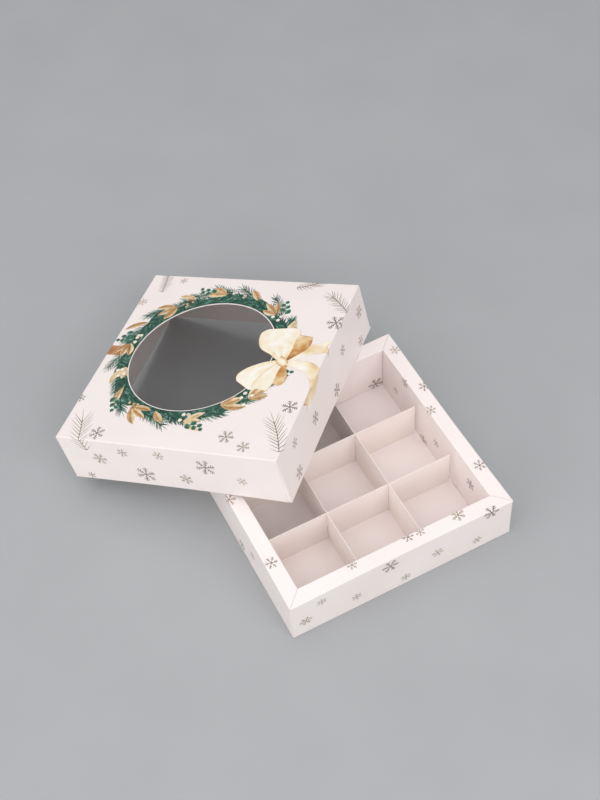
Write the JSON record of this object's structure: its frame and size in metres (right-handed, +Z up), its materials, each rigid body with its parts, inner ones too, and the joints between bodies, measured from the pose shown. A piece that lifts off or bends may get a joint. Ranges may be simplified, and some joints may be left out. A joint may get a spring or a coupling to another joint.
{
  "type": "divided sweet box with window lid",
  "caption": "Square folded-card gift box: hollow-walled tray with slotted divider cards in a grid, and a lift-off lid with a round film window leaning on the tray.",
  "frame": {"origin": "centre of the tray's underside", "axes": "+Z up, +X along the tray's front wall to the right, +Y from the tray's front wall to its back wall; the lid leans on the tray's left and back walls"},
  "size_m": [0.2174, 0.2655, 0.0797],
  "materials": {
    "printed_card": "coated white card, printed with ornaments in metallic tan, green and gold, satin",
    "divider_card": "plain white card, matt",
    "clear_film": "clear film, glossy"
  },
  "bodies": {
    "tray": {"tray": "printed_card"},
    "dividers_lower": {"lower_divider_left": "divider_card", "lower_divider_right": "divider_card"},
    "dividers_upper": {"upper_divider_front": "divider_card", "upper_divider_back": "divider_card"},
    "lid": {"lid": "printed_card", "window_film": "clear_film"}
  },
  "joints": [
    {"name": "insert_lift", "type": "slide", "parent": "tray", "child": "dividers_lower", "axis": [0, 0, 1], "range_m": [0, 0.05]},
    {"name": "upper_cards_lift", "type": "slide", "parent": "dividers_lower", "child": "dividers_upper", "axis": [0, 0, 1], "range_m": [0, 0.03]},
    {"name": "lid_lift", "type": "slide", "parent": "dividers_upper", "child": "lid", "axis": [0, 0, 1], "range_m": [0, 0.08]}
  ]
}
